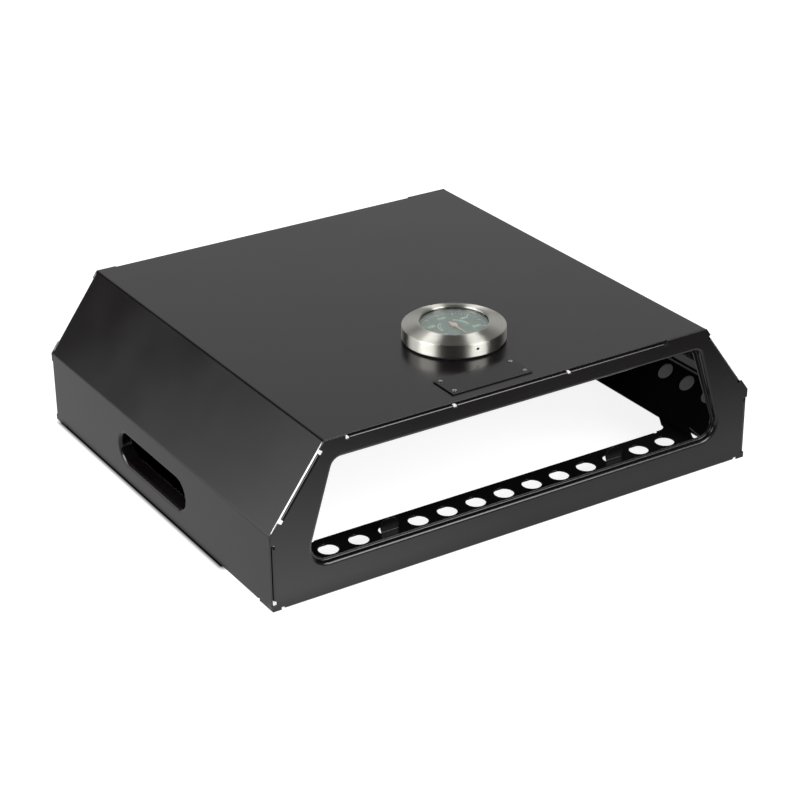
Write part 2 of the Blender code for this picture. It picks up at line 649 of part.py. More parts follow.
def bezel(at, finish, parent):
    """The spun ring round the dial: a straight skirt, a shallow cone and a rounded rim."""
    inner = BEZEL_RADIUS - BEZEL_WALL
    cone = Vector((BEZEL_RADIUS - BEZEL_RIM_RADIUS, BEZEL_RIM_HEIGHT - BEZEL_SHOULDER)).normalized()
    drop = BEZEL_WALL / cone.x
    rim = (BEZEL_RIM_RADIUS, BEZEL_RIM_HEIGHT)
    shoulder = (BEZEL_RADIUS, BEZEL_SHOULDER)
    rounding = fillet((BEZEL_RADIUS, 0), shoulder, rim, BEZEL_SHOULDER_ROUND, BEZEL_SHOULDER_STEPS)
    profile = [
        (BEZEL_RADIUS, at["skirt"]),
        *rounding,
        rim,
        (BEZEL_RIM_RADIUS - BEZEL_RIM_ROUND, BEZEL_RIM_HEIGHT),
        (BEZEL_MOUTH_RADIUS, BEZEL_RIM_HEIGHT - BEZEL_RIM_ROUND),
        (BEZEL_MOUTH_RADIUS, at["lens_top"] + PLAY),
        (BEZEL_RIM_RADIUS, at["lens_top"] + PLAY),
        (inner, BEZEL_SHOULDER - drop),
        (inner, at["skirt"]),
    ]
    made = turned("thermometer_bezel", profile, finish, parent)
    cutter_mesh = bmesh.new()
    bmesh.ops.create_cone(
        cutter_mesh,
        cap_ends=True,
        segments=HUB_STEPS,
        radius1=BEZEL_VENT_RADIUS,
        radius2=BEZEL_VENT_RADIUS,
        depth=BEZEL_WALL + 2 * CUT_OVERRUN,
    )
    cutter = placed("bezel_vent_cutter", cutter_mesh, finish, parent)
    cutter.hide_render = True
    cutter.display_type = "WIRE"
    x, y = circle_point(BEZEL_RADIUS - BEZEL_WALL / 2, BEZEL_VENT_ANGLE)
    cutter.location = (x, y, BEZEL_VENT_HEIGHT)
    cutter.rotation_euler = (0, math.pi / 2, BEZEL_VENT_ANGLE)
    vent = made.modifiers.new("vent", "BOOLEAN")
    vent.operation = "DIFFERENCE"
    vent.object = cutter


def thermometer_housing(at, finishes, parent):
    """Case, seal, lens, gasket and dial: everything round the pointer that stands still."""
    steel, glass, black_rubber, white_enamel = finishes
    rim = [(GASKET_RADIUS - GASKET_WIDTH, PLAY), (GASKET_RADIUS, PLAY)]
    rim += [(radius, height + GASKET_THICKNESS) for radius, height in reversed(rim)]
    turned("base_gasket", rim, black_rubber, parent)
    bezel(at, steel, parent)
    lens = [(0, at["lens_bottom"]), (LENS_RADIUS, at["lens_bottom"])]
    lens += [(radius, at["lens_top"]) for radius, height in reversed(lens)]
    turned("thermometer_lens", lens, glass, parent)
    seal = [(LENS_RADIUS - SEAL_WIDTH, at["seal_bottom"]), (LENS_RADIUS, at["seal_bottom"])]
    seal += [(radius, at["seal_top"]) for radius, height in reversed(seal)]
    turned("lens_seal", seal, black_rubber, parent)
    outer = CASE_BORE_RADIUS + CASE_WALL
    flange_radius = BEZEL_RADIUS - BEZEL_WALL - PLAY
    neck = SHANK_RADIUS + PLAY
    case = [
        (neck, at["case_bottom"]),
        (outer, at["case_bottom"]),
        (outer, at["case_flange"] - CASE_WALL),
        (flange_radius, at["case_flange"] - CASE_WALL),
        (flange_radius, at["case_flange"]),
        (CASE_BORE_RADIUS, at["case_flange"]),
        (CASE_BORE_RADIUS, at["case_floor"]),
        (neck, at["case_floor"]),
    ]
    turned("thermometer_case", case, steel, parent)
    dial_radius = CASE_BORE_RADIUS - PLAY
    dial_bottom = at["dial_top"] - DIAL_THICKNESS
    dial = [
        (DIAL_HOLE_RADIUS, dial_bottom),
        (dial_radius, dial_bottom),
        (dial_radius, at["dial_top"]),
        (DIAL_HOLE_RADIUS, at["dial_top"]),
    ]
    turned("thermometer_dial", dial, white_enamel, parent)
    ring_foot = at["case_floor"] + PLAY
    ring = [(dial_radius - DIAL_RING_WALL, ring_foot), (dial_radius, ring_foot)]
    ring += [(radius, dial_bottom - PLAY) for radius, height in reversed(ring)]
    turned("dial_support_ring", ring, steel, parent)


def thermometer_mounting(at, steel, brass, parent):
    """The threaded shank through the hood's top, its washer and nut, and the probe below."""
    thread = []
    crest = SHANK_RADIUS
    root = SHANK_RADIUS - THREAD_DEPTH
    shank_end = -SHANK_LENGTH
    height = shank_end
    while height + THREAD_PITCH < -SHEET - PLAY:
        thread += [(root, height), (crest, height + THREAD_PITCH / 2)]
        height += THREAD_PITCH
    shank = [
        (SHANK_BORE_RADIUS, shank_end),
        *thread,
        (crest, height),
        (crest, PLAY),
        (COLLAR_RADIUS, PLAY),
        (COLLAR_RADIUS, at["collar_top"]),
        (crest, at["collar_top"]),
        (crest, at["case_floor"]),
        (SHANK_BORE_RADIUS, at["case_floor"]),
    ]
    turned("threaded_shank", shank, steel, parent, SMALL_ROUND_STEPS)
    bore = SPINDLE_RADIUS + PLAY
    bush_seat = at["case_floor"] + PLAY
    bush_body = SHANK_BORE_RADIUS - PLAY
    bush = [
        (bore, bush_seat + BUSH_FLANGE_THICKNESS - BUSH_LENGTH),
        (bush_body, bush_seat + BUSH_FLANGE_THICKNESS - BUSH_LENGTH),
        (bush_body, bush_seat),
        (BUSH_FLANGE_RADIUS, bush_seat),
        (BUSH_FLANGE_RADIUS, bush_seat + BUSH_FLANGE_THICKNESS),
        (bore, bush_seat + BUSH_FLANGE_THICKNESS),
    ]
    turned("spindle_bush", bush, brass, parent, SMALL_ROUND_STEPS)
    washer_top = -SHEET - PLAY
    washer_bottom = washer_top - WASHER_THICKNESS
    washer = [
        (SHANK_RADIUS + PLAY, washer_bottom),
        (WASHER_RADIUS, washer_bottom),
        (WASHER_RADIUS, washer_top),
        (SHANK_RADIUS + PLAY, washer_top),
    ]
    turned("clamp_washer", washer, steel, parent, SMALL_ROUND_STEPS)
    corner_radius = NUT_ACROSS_FLATS / 2 / math.cos(math.pi / 6)
    hexagon = circle(0, 0, corner_radius, 6)
    nut_bottom = washer_bottom - PLAY - NUT_THICKNESS
    nut_bore = circle(0, 0, SHANK_RADIUS + PLAY, SMALL_ROUND_STEPS)
    slab("clamp_nut", hexagon, [nut_bore], nut_bottom, NUT_THICKNESS, steel, parent)
    probe_radius = SHANK_BORE_RADIUS - PLAY
    probe_bore = probe_radius - PROBE_WALL
    probe_top = shank_end + PROBE_INSERTION
    tip = [
        (probe_radius * math.sin(a), -PROBE_REACH + probe_radius * (1 - math.cos(a)))
        for a in (0, math.pi / 6, math.pi / 3, math.pi / 2)
    ]
    probe = [
        *tip,
        (probe_radius, probe_top),
        (probe_bore, probe_top),
        (probe_bore, PROBE_WALL - PROBE_REACH + probe_bore),
        (0, PROBE_WALL - PROBE_REACH + probe_bore),
    ]
    turned("probe_tube", probe, steel, parent, SMALL_ROUND_STEPS)
    return PROBE_WALL - PROBE_REACH + probe_bore


def bimetal_coil(floor, steel, parent):
    """The wound strip in the probe that turns the spindle as it warms."""
    data = bpy.data.curves.new("bimetal_coil", "CURVE")
    data.dimensions = "3D"
    data.bevel_depth = COIL_STRIP / 2
    data.bevel_resolution = 1
    data.use_fill_caps = True
    spline = data.splines.new("POLY")
    count = COIL_TURNS * COIL_POINTS_PER_TURN + 1
    spline.points.add(count - 1)
    low = floor + PLAY + COIL_STRIP / 2
    for number, point in enumerate(spline.points):
        turns = number / COIL_POINTS_PER_TURN
        point.co = (*circle_point(COIL_RADIUS, math.tau * turns), low + COIL_PITCH * turns, 1)
    data.materials.append(steel)
    made = bpy.data.objects.new("bimetal_coil", data)
    bpy.context.scene.collection.objects.link(made)
    made.parent = parent
    return low + COIL_PITCH * COIL_TURNS


def pointer(at, coil_top, steel, red, parent):
    """The needle and the spindle that carries it down through the bush to the coil."""
    under = at["dial_top"] + POINTER_LIFT
    top = under + POINTER_THICKNESS
    foot = coil_top - COIL_PITCH * COIL_TURNS / 2
    spindle = [(0, foot), (SPINDLE_RADIUS, foot), (SPINDLE_RADIUS, top), (0, top)]
    turned("pointer_spindle", spindle, steel, parent, HUB_STEPS)
    half_root, half_tip = POINTER_ROOT_WIDTH / 2, POINTER_TIP_WIDTH / 2
    join = math.asin(half_root / POINTER_HUB_RADIUS)
    down = -math.pi / 2
    right = arc((0, 0), POINTER_HUB_RADIUS, down + join, -down - join, HUB_STEPS // 2)
    left = [(-x, y) for x, y in reversed(right)]
    outline = [(-half_tip, -POINTER_LENGTH), (half_tip, -POINTER_LENGTH), *right]
    outline += [(half_root, POINTER_TAIL), (-half_root, POINTER_TAIL), *left]
    hole = circle(0, 0, SPINDLE_RADIUS + PLAY, HUB_STEPS)
    slab("thermometer_pointer", outline, [hole], under, POINTER_THICKNESS, red, parent)


def main():
    clear_scene()
    black_paint = material("black_paint", (0.045, 0.043, 0.046), 0.38, 0.0)
    plate_black = material("plate_black", (0.012, 0.010, 0.012), 0.35, 0.0)
    steel = material("brushed_steel", (0.62, 0.61, 0.58), 0.28, 1.0)
    rivet_metal = material("rivet_metal", (0.70, 0.70, 0.70), 0.35, 1.0)
    glass = material("clear_glass", (0.85, 0.92, 0.88), 0.05, 0.0)
    black_rubber = material("black_rubber", (0.015, 0.015, 0.015), 0.60, 0.0)
    white_enamel = material("dial_enamel", (0.15, 0.19, 0.18), 0.50, 0.0)
    brass = material("brass", (0.75, 0.55, 0.25), 0.30, 1.0)
    needle_red = material("needle_red", (0.60, 0.28, 0.22), 0.45, 0.0)

    casing(black_paint)
    front_panel(black_paint)
    rear_panel(black_paint)
    stone_tray(black_paint)
    nameplate(plate_black, rivet_metal)

    axis = bpy.data.objects.new("thermometer_axis", None)
    axis.location = (THERMOMETER_X, THERMOMETER_Y, HEIGHT)
    bpy.context.scene.collection.objects.link(axis)
    at = thermometer_heights()
    thermometer_housing(at, (steel, glass, black_rubber, white_enamel), axis)
    probe_floor = thermometer_mounting(at, steel, brass, axis)
    coil_top = bimetal_coil(probe_floor, steel, axis)
    pointer(at, coil_top, steel, needle_red, axis)


main()
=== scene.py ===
# %% [markdown]
# A barbecue pizza oven: a low hood of folded black sheet metal with an open mouth in front,
# a perforated tray for the stone, and a dial thermometer in its top.
# The solid parts are already worked out and packed. This lesson loads them and dresses them:
# sheets get softened cut edges and a paint, and round parts are turned again with finer profiles.

# %% Load the frame
import math

import bmesh
import bpy
import numpy as np
from mathutils import Matrix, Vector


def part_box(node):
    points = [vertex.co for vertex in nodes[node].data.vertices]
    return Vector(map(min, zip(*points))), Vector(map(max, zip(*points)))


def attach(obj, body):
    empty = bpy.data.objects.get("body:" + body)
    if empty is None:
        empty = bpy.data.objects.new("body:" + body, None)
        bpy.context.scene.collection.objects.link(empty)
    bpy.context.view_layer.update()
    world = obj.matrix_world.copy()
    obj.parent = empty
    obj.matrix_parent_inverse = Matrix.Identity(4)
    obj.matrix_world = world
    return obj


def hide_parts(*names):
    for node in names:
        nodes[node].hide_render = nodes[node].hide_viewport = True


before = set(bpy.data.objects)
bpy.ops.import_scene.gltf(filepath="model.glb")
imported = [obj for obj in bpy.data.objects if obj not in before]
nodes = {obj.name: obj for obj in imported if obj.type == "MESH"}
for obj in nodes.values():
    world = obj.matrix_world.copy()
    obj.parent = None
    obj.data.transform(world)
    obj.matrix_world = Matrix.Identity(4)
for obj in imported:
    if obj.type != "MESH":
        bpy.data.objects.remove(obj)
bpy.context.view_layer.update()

# %% [markdown]
# The camera comes first, because every later choice is judged through it.
# It stands to the left of the mouth and looks down by about 26 degrees, through a long lens,
# so that upright edges stay nearly parallel. Its three axes are written out, and not aimed with
# a constraint, so that the slight roll of a hand-held camera is kept.

# %% Camera
CAMERA_PLACE = np.array([-0.79745, -1.27695, 0.77142])
CAMERA_BACK = np.array([-0.4783, -0.7596, 0.4407])
CAMERA_RIGHT = np.array([0.8462, -0.5328, 0.0])
CAMERA_ROLL = math.radians(-0.54)


def camera_matrix(place, back, right, roll):
    """Columns are right, up and back. Up is back crossed with right, then both turn by the roll."""
    up = np.cross(back, right)
    turned_right = right * math.cos(roll) + up * math.sin(roll)
    turned_up = up * math.cos(roll) - right * math.sin(roll)
    matrix = np.identity(4)
    matrix[:3, 0], matrix[:3, 1], matrix[:3, 2], matrix[:3, 3] = turned_right, turned_up, back, place
    return Matrix(matrix.tolist())


camera_data = bpy.data.cameras.new("camera")
camera_data.lens = 98.1
camera_data.sensor_width = 36.0
camera = bpy.data.objects.new("camera", camera_data)
camera.matrix_world = camera_matrix(CAMERA_PLACE, CAMERA_BACK, CAMERA_RIGHT, CAMERA_ROLL)
bpy.context.scene.collection.objects.link(camera)
bpy.context.scene.camera = camera
print("camera at", CAMERA_PLACE)

# %% [markdown]
# Every new piece is a grid of places: rows along a profile, columns round it or across it.
# Once the places are an array, the faces follow from the grid's own numbering, so one helper
# turns any grid into a mesh. Rows that shrink to a point, such as a pole, are merged afterwards.
# A map of the two parameters is kept with the mesh, so that brushing can follow the surface.

# %% Grids to meshes
def quad_places(rows, columns, wrap_rows, wrap_columns):
    """The row and the column of each quad's first corner."""
    row = np.arange(rows if wrap_rows else rows - 1)
    column = np.arange(columns if wrap_columns else columns - 1)
    return np.meshgrid(row, column, indexing="ij")


def grid_faces(rows, columns, wrap_rows, wrap_columns):
    """Corner numbers of every quad: each joins a place with the next in its row and column."""
    row, column = quad_places(rows, columns, wrap_rows, wrap_columns)
    next_row, next_column = (row + 1) % rows, (column + 1) % columns
    corners = [row * columns + column, row * columns + next_column,
               next_row * columns + next_column, next_row * columns + column]
    return np.stack(corners, axis=-1).reshape(-1, 4)


def grid_map(rows, columns, wrap_rows, wrap_columns, across, along):
    """Two map numbers for every corner of every quad, which run on over the seam, in metres."""
    row, column = quad_places(rows, columns, wrap_rows, wrap_columns)
    u = np.stack([column, column + 1, column + 1, column], axis=-1) * (across / columns)
    along = np.append(along, along[-1] + (along[-1] - along[-2]))
    v = np.stack([along[row], along[row], along[row + 1], along[row + 1]], axis=-1)
    return np.stack([u, v], axis=-1).reshape(-1, 2)


def finish_mesh(mesh, sharp_degrees):
    """Doubles merged, normals outward, smooth shading with real creases kept."""
    work = bmesh.new()
    work.from_mesh(mesh)
    bmesh.ops.remove_doubles(work, verts=work.verts, dist=1e-7)
    bmesh.ops.dissolve_degenerate(work, edges=work.edges, dist=1e-8)
    bmesh.ops.recalc_face_normals(work, faces=work.faces)
    work.to_mesh(mesh)
    work.free()
    mesh.shade_smooth()
    mesh.set_sharp_from_angle(angle=math.radians(sharp_degrees))


def new_piece(name, mesh, body, replaced, finish):
    """An object at the origin that rides a body, stands for its solids and wears a finish."""
    piece = bpy.data.objects.new(name, mesh)
    bpy.context.scene.collection.objects.link(piece)
    mesh.materials.clear()
    mesh.materials.append(finish)
    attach(piece, body)
    if replaced:
        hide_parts(*replaced)
    print(f"{name}: {len(mesh.polygons)} faces")
    return piece


def grid_mesh(name, places, wrap_rows=False, wrap_columns=False, across=1.0, along=None, sharp=40):
    """A mesh from an array of places, shaped rows by columns by 3."""
    rows, columns = places.shape[:2]
    mesh = bpy.data.meshes.new(name)
    faces = grid_faces(rows, columns, wrap_rows, wrap_columns)
    mesh.from_pydata(places.reshape(-1, 3).tolist(), [], faces.tolist())
    along = np.linspace(0, 1, rows) if along is None else along
    layer = mesh.uv_layers.new(name="follow")
    values = grid_map(rows, columns, wrap_rows, wrap_columns, across, along)
    layer.data.foreach_set("uv", values.ravel())
    finish_mesh(mesh, sharp)
    return mesh

# %% [markdown]
# A finish is a small chain of nodes that ends in the Principled shader. Writing each chain link
# by link is long, so one helper adds a node, sets its choices and joins its inputs in one line.
# Numbers that are the same all over stay on the shader's own sockets.

# %% Node helper
def link_in(tree, kind, choices=None, **inputs):
    """Adds a node. An input given as a socket is joined, and any other value is typed in."""
    node = tree.nodes.new(kind)
    for choice, value in (choices or {}).items():
        setattr(node, choice, value)
    for name, value in inputs.items():
        numbered = name[0] == "i" and name[1:].isdigit()
        socket = node.inputs[int(name[1:]) if numbered else name.replace("_", " ")]
        if isinstance(value, bpy.types.NodeSocket):
            tree.links.new(value, socket)
        else:
            socket.default_value = value
    return node


def new_finish(name, colour, roughness, metallic=0.0, **sockets):
    """A material with one Principled shader, its tree and its Object coordinates."""
    finish = bpy.data.materials.new(name)
    finish.use_nodes = True
    finish.diffuse_color = (*colour, 1)
    tree = finish.node_tree
    shader = tree.nodes["Principled BSDF"]
    shader.inputs["Base Color"].default_value = (*colour, 1)
    shader.inputs["Roughness"].default_value = roughness
    shader.inputs["Metallic"].default_value = metallic
    for socket, value in sockets.items():
        shader.inputs[socket.replace("_", " ")].default_value = value
    places = tree.nodes.new("ShaderNodeTexCoord").outputs["Object"]
    return finish, tree, shader, places


def noise(tree, places, scale, detail=3.0, rough=0.5):
    """Soft random values from 0 to 1, with about one blob in every 1 / scale metres."""
    made = link_in(tree, "ShaderNodeTexNoise", Vector=places, Scale=scale, Detail=detail, Roughness=rough)
    return made.outputs["Fac"]


def remap(tree, value, low, high, to_low, to_high):
    """Stretches a value from one range to another and clamps it there."""
    ranges = {"i1": low, "i2": high, "i3": to_low, "i4": to_high}
    return link_in(tree, "ShaderNodeMapRange", {"clamp": True}, i0=value, **ranges).outputs[0]


def blend_colours(tree, share, first, second):
    """First where the share is 0, second where it is 1."""
    made = link_in(tree, "ShaderNodeMix", {"data_type": "RGBA"}, i0=share, i6=first, i7=second)
    return made.outputs[2]


def shade_between(tree, value, low, high, first, second):
    """Goes from the first colour to the second as a value crosses a range."""
    return blend_colours(tree, remap(tree, value, low, high, 0.0, 1.0), (*first, 1), (*second, 1))


def level_between(tree, share, first, second):
    """The first level where the share is 0, the second where it is 1."""
    made = link_in(tree, "ShaderNodeMix", {"data_type": "FLOAT"}, i0=share, i2=first, i3=second)
    return made.outputs[0]


def maths(tree, operation, first, second):
    """One operation on two values, each of them a socket or a number."""
    return link_in(tree, "ShaderNodeMath", {"operation": operation}, i0=first, i1=second).outputs[0]


def axes_of(tree, places):
    """The x, y and z of a place, as three sockets."""
    return link_in(tree, "ShaderNodeSeparateXYZ", i0=places).outputs


def bump(tree, height, distance, strength=1.0):
    """A surface normal that leans as if the height, in metres of distance, were real."""
    made = link_in(tree, "ShaderNodeBump", Height=height, Distance=distance, Strength=strength)
    return made.outputs["Normal"]

# %% [markdown]
# The sheets wear a black heat-resistant paint: satin, with the faint orange-peel ripple that a
# sprayed coat keeps. Three things make it read as paint and not as plain black: the ripple bends
# reflections a little, the gloss varies in broad soft patches, and fine specks of dust lighten it.

# %% Black paint
PATCH_SCALE, RIPPLE_SCALE, SPECK_SCALE = 14.0, 620.0, 2600.0
RIPPLE_HEIGHT = 0.00003
SPECK_LIFT = 3.2
BLACK, WORN_BLACK = (0.0028, 0.0020, 0.0023), (0.0036, 0.0027, 0.0030)


def black_paint(name, colour, lift, gloss, shine=0.5):
    """Paint in three scales: broad gloss patches, millimetre ripple and fine specks."""
    finish, tree, shader, places = new_finish(name, colour, gloss, Specular_IOR_Level=shine)
    patches = noise(tree, places, PATCH_SCALE, 4.0)
    ripple = noise(tree, places, RIPPLE_SCALE, 2.0)
    specks = noise(tree, places, SPECK_SCALE, 1.0)
    tone = shade_between(tree, patches, 0.3, 0.7, colour, lift)
    dust = remap(tree, specks, 0.66, 0.80, 0.0, 0.55)
    light_speck = tuple(SPECK_LIFT * part for part in lift)
    tree.links.new(blend_colours(tree, dust, tone, (*light_speck, 1)), shader.inputs["Base Color"])
    tree.links.new(remap(tree, patches, 0.25, 0.75, gloss - 0.03, gloss + 0.05), shader.inputs["Roughness"])
    tree.links.new(bump(tree, ripple, RIPPLE_HEIGHT, 0.5), shader.inputs["Normal"])
    return finish


outer_paint = black_paint("satin_black_paint", BLACK, WORN_BLACK, 0.20)
# The casing's paint also carries the painted highlight on its slope edges, added below.
casing_paint = black_paint("casing_black_paint", BLACK, WORN_BLACK, 0.20)
tray_paint = black_paint("tray_black_paint", (0.0028, 0.0025, 0.0027), (0.0036, 0.0032, 0.0034), 0.20, 0.3)
plate_paint = black_paint("plate_gloss_black", (0.0028, 0.0022, 0.0026), (0.0036, 0.0030, 0.0034), 0.16, 0.35)
print("paints ready")

# %% [markdown]
# On the two slopes the casing's cut edges carry a painted highlight: a thin near-white line in the
# paint's colour, where the rounded edges would catch the light. A mask on the place finds them:
# within half a millimetre of the casing's ends, higher than the walls and lower than the top.

# %% Painted highlight on the slope edges
# Colour and distances of the painted highlight: a near-white line where the slope edges catch the light.
PAINTED_HIGHLIGHT_WHITE = (0.90, 0.90, 0.89)
HIGHLIGHT_STARTS, HIGHLIGHT_IS_FULL, HIGHLIGHT_FADE = 0.0007, 0.0003, 0.0010
SLOPE_FOOT = 0.0600
SHOULDER_DEPTH = 0.0022
casing_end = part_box("casing")[1]
HOOD_TOP = casing_end.z


def inside(tree, value, low, high, soft):
    """1 between low and high, falling to 0 over the soft distance on both sides."""
    rising = remap(tree, value, low - soft, low, 0.0, 1.0)
    falling = remap(tree, value, high, high + soft, 1.0, 0.0)
    return maths(tree, "MULTIPLY", rising, falling)


def bare_slope_edges(finish, end_y, low_z, high_z):
    """A painted highlight over the paint where |y| is at the casing's end and z is on a slope."""
    tree = finish.node_tree
    colour = tree.nodes["Principled BSDF"].inputs["Base Color"]
    painted = colour.links[0].from_socket
    axes = axes_of(tree, tree.nodes["Texture Coordinate"].outputs["Object"])
    end = link_in(tree, "ShaderNodeMath", {"operation": "ABSOLUTE"}, i0=axes[1]).outputs[0]
    at_end = remap(tree, end, end_y - HIGHLIGHT_STARTS, end_y - HIGHLIGHT_IS_FULL, 0.0, 1.0)
    on_slope = inside(tree, axes[2], low_z, high_z, HIGHLIGHT_FADE)
    highlighted = maths(tree, "MULTIPLY", at_end, on_slope)
    tree.links.new(blend_colours(tree, highlighted, painted, (*PAINTED_HIGHLIGHT_WHITE, 1)), colour)


# Paints the highlight onto the casing's cut edges on the slopes.
bare_slope_edges(casing_paint, casing_end.y, SLOPE_FOOT, HOOD_TOP - SHOULDER_DEPTH)
print("hood top at", round(HOOD_TOP, 5))

# %% [markdown]
# The bezel is spun and then brushed on the lathe, so its scratches run round the axis. Light
# spreads across scratches and hardly along them: that is the anisotropy, and it needs the
# direction of the scratches at every point. It comes from the place itself, since a scratch is
# always square to both the axis and the line out from it. The fine lines are noise on the map
# that was kept with the grid, stretched ninety times longer round than across.

# %% Brushed steel
thermometer_low, thermometer_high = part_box("thermometer_bezel")
axis_x = (thermometer_low.x + thermometer_high.x) / 2
axis_y = (thermometer_low.y + thermometer_high.y) / 2


LINE_STRETCH = 90


def scratch_direction(tree, places):
    """The line out from the thermometer's axis, turned a quarter: (x, y) becomes (-y, x)."""

    def vectors(operation, **inputs):
        return link_in(tree, "ShaderNodeVectorMath", {"operation": operation}, **inputs).outputs[0]

    out = vectors("SUBTRACT", i0=places, i1=(axis_x, axis_y, 0.0))
    flat = vectors("MULTIPLY", i0=out, i1=(1.0, 1.0, 0.0))
    side = vectors("CROSS_PRODUCT", i0=(0.0, 0.0, 1.0), i1=flat)
    return vectors("NORMALIZE", i0=side)


def brushed_steel(name, colour, gloss, lines):
    """Steel with scratches round the axis: anisotropy for the glow, noise lines for the grain."""
    finish, tree, shader, places = new_finish(
        name, colour, gloss, 1.0, Anisotropic=1.0, Anisotropic_Rotation=0.25)
    tree.links.new(scratch_direction(tree, places), shader.inputs["Tangent"])
    follow = link_in(tree, "ShaderNodeUVMap", {"uv_map": "follow"}).outputs[0]
    scale = (lines / LINE_STRETCH, lines, 1.0)
    stretched = link_in(tree, "ShaderNodeMapping", Vector=follow, Scale=scale).outputs[0]
    grain = noise(tree, stretched, 1.0, 3.0, 0.6)
    dark = tuple(0.72 * part for part in colour)
    tree.links.new(shade_between(tree, grain, 0.35, 0.65, dark, colour), shader.inputs["Base Color"])
    tree.links.new(remap(tree, grain, 0.3, 0.7, gloss - 0.06, gloss + 0.06), shader.inputs["Roughness"])
    tree.links.new(bump(tree, grain, 0.00001, 0.4), shader.inputs["Normal"])
    return finish


bezel_steel = brushed_steel("bezel_brushed_steel", (0.72, 0.71, 0.65), 0.40, 5200.0)
print("thermometer axis at", round(axis_x, 5), round(axis_y, 5))

# %% [markdown]
# The other finishes are quieter. Machined steel inside the hood has faint tool rings, rivets are
# bare aluminium with a dull skin, rubber is matt, brass is turned, and the dial is printed enamel.

# %% Quiet finishes
def machined(name, colour, gloss, rings):
    """Bare metal with tool marks in layers along Z and a skin that varies in gloss."""
    finish, tree, shader, places = new_finish(name, colour, gloss, 1.0)
    layers = link_in(tree, "ShaderNodeMapping", Vector=places, Scale=(60.0, 60.0, rings)).outputs[0]
    marks = noise(tree, layers, 1.0, 2.0)
    skin = noise(tree, places, 260.0, 4.0)
    dull = tuple(0.7 * part for part in colour)
    tree.links.new(shade_between(tree, skin, 0.35, 0.7, colour, dull), shader.inputs["Base Color"])
    tree.links.new(remap(tree, marks, 0.3, 0.7, gloss - 0.07, gloss + 0.08), shader.inputs["Roughness"])
    tree.links.new(bump(tree, marks, 0.00002, 0.5), shader.inputs["Normal"])
    return finish


def matt(name, colour, lift, gloss, grain):
    """A dull skin: fine grain in colour and in height."""
    finish, tree, shader, places = new_finish(name, colour, gloss)
    fine = noise(tree, places, grain, 3.0)
    tree.links.new(shade_between(tree, fine, 0.35, 0.65, colour, lift), shader.inputs["Base Color"])
    tree.links.new(remap(tree, fine, 0.3, 0.7, gloss - 0.05, gloss + 0.05), shader.inputs["Roughness"])
    tree.links.new(bump(tree, fine, 0.00001, 0.4), shader.inputs["Normal"])
    return finish


inner_steel = machined("machined_steel", (0.55, 0.54, 0.52), 0.36, 3600.0)
rivet_metal = machined("bare_rivet_metal", (0.78, 0.77, 0.75), 0.30, 2400.0)
brass = machined("turned_brass", (0.72, 0.52, 0.24), 0.32, 3000.0)
rubber = matt("matt_black_rubber", (0.010, 0.010, 0.010), (0.022, 0.022, 0.022), 0.62, 1800.0)
enamel = matt("dial_enamel", (0.092, 0.122, 0.108), (0.105, 0.138, 0.122), 0.45, 900.0)
ink = matt("dial_ink", (0.55, 0.62, 0.58), (0.62, 0.69, 0.65), 0.50, 2500.0)
needle_paint = matt("needle_paint", (0.62, 0.40, 0.33), (0.70, 0.47, 0.39), 0.42, 2000.0)

clear_glass, glass_tree, glass_shader, glass_places = new_finish(
    "clear_glass", (0.88, 0.95, 0.91), 0.02, 0.0, Transmission_Weight=1.0, IOR=1.48)
smears = remap(glass_tree, noise(glass_tree, glass_places, 90.0, 3.0), 0.4, 0.8, 0.0, 0.05)
glass_tree.links.new(smears, glass_shader.inputs["Roughness"])
print("quiet finishes ready")

# %% [markdown]
# The hood, its end panels and the tray are folded from one thickness of sheet, and their solids
# already have the right folds, lips, vents and notches. A laser-cut sheet never keeps a knife
# edge, though: tumbling and paint round it, and that thin round catches the light all along the
# edge. So each sheet is copied, its loose triangles are merged back to flat faces, and a narrow
# bevel rounds the cut edges only. Folds are gentler than the bevel's angle and stay as they are.

# %% Sheets with rounded edges
def merged_copy(name, node):
    """The node's triangles with shared corners, and flat neighbours joined to whole faces."""
    mesh = nodes[node].data.copy()
    mesh.name = name
    work = bmesh.new()
    work.from_mesh(mesh)
    bmesh.ops.remove_doubles(work, verts=work.verts, dist=2e-6)
    bmesh.ops.dissolve_limit(work, angle_limit=math.radians(0.2), verts=work.verts, edges=work.edges)
    work.to_mesh(mesh)
    work.free()
    for attribute in [a.name for a in mesh.attributes if a.name in ("custom_normal", "sharp_face")]:
        mesh.attributes.remove(mesh.attributes[attribute])
    mesh.shade_smooth()
    return mesh


def rounded_edges(piece, degrees, radius):
    """Rounds every edge that turns by more than an angle, and lets the large faces lead the shading."""
    rounding = piece.modifiers.new("cut_edges", "BEVEL")
    rounding.limit_method = "ANGLE"
    rounding.angle_limit = math.radians(degrees)
    rounding.width = radius
    rounding.segments = 2
    piece.modifiers.new("flat_faces_lead", "WEIGHTED_NORMAL").weight = 50
    return rounding


SHEET_EDGE = 0.00030
CUT_DEGREES = 50
PAINT_OF = {
    "casing": casing_paint, "front_panel": outer_paint, "rear_panel": outer_paint, "stone_tray": tray_paint,
}
for node, finish in PAINT_OF.items():
    name = node + "_sheet"
    sheet = new_piece(name, merged_copy(name, node), "oven", [node], finish)
    sheet_rounding = rounded_edges(sheet, CUT_DEGREES, SHEET_EDGE)
    sheet_rounding.use_clamp_overlap = False
    sheet_rounding.miter_outer = "MITER_SHARP"

# %% [markdown]
# Nearly all of the thermometer is turned on a lathe, so its finer pieces are lathe work here too:
# a profile of radius and height is carried round the axis. Real profiles have no sharp corners,
# so each corner of the profile is first replaced by a small arc that touches both its sides.

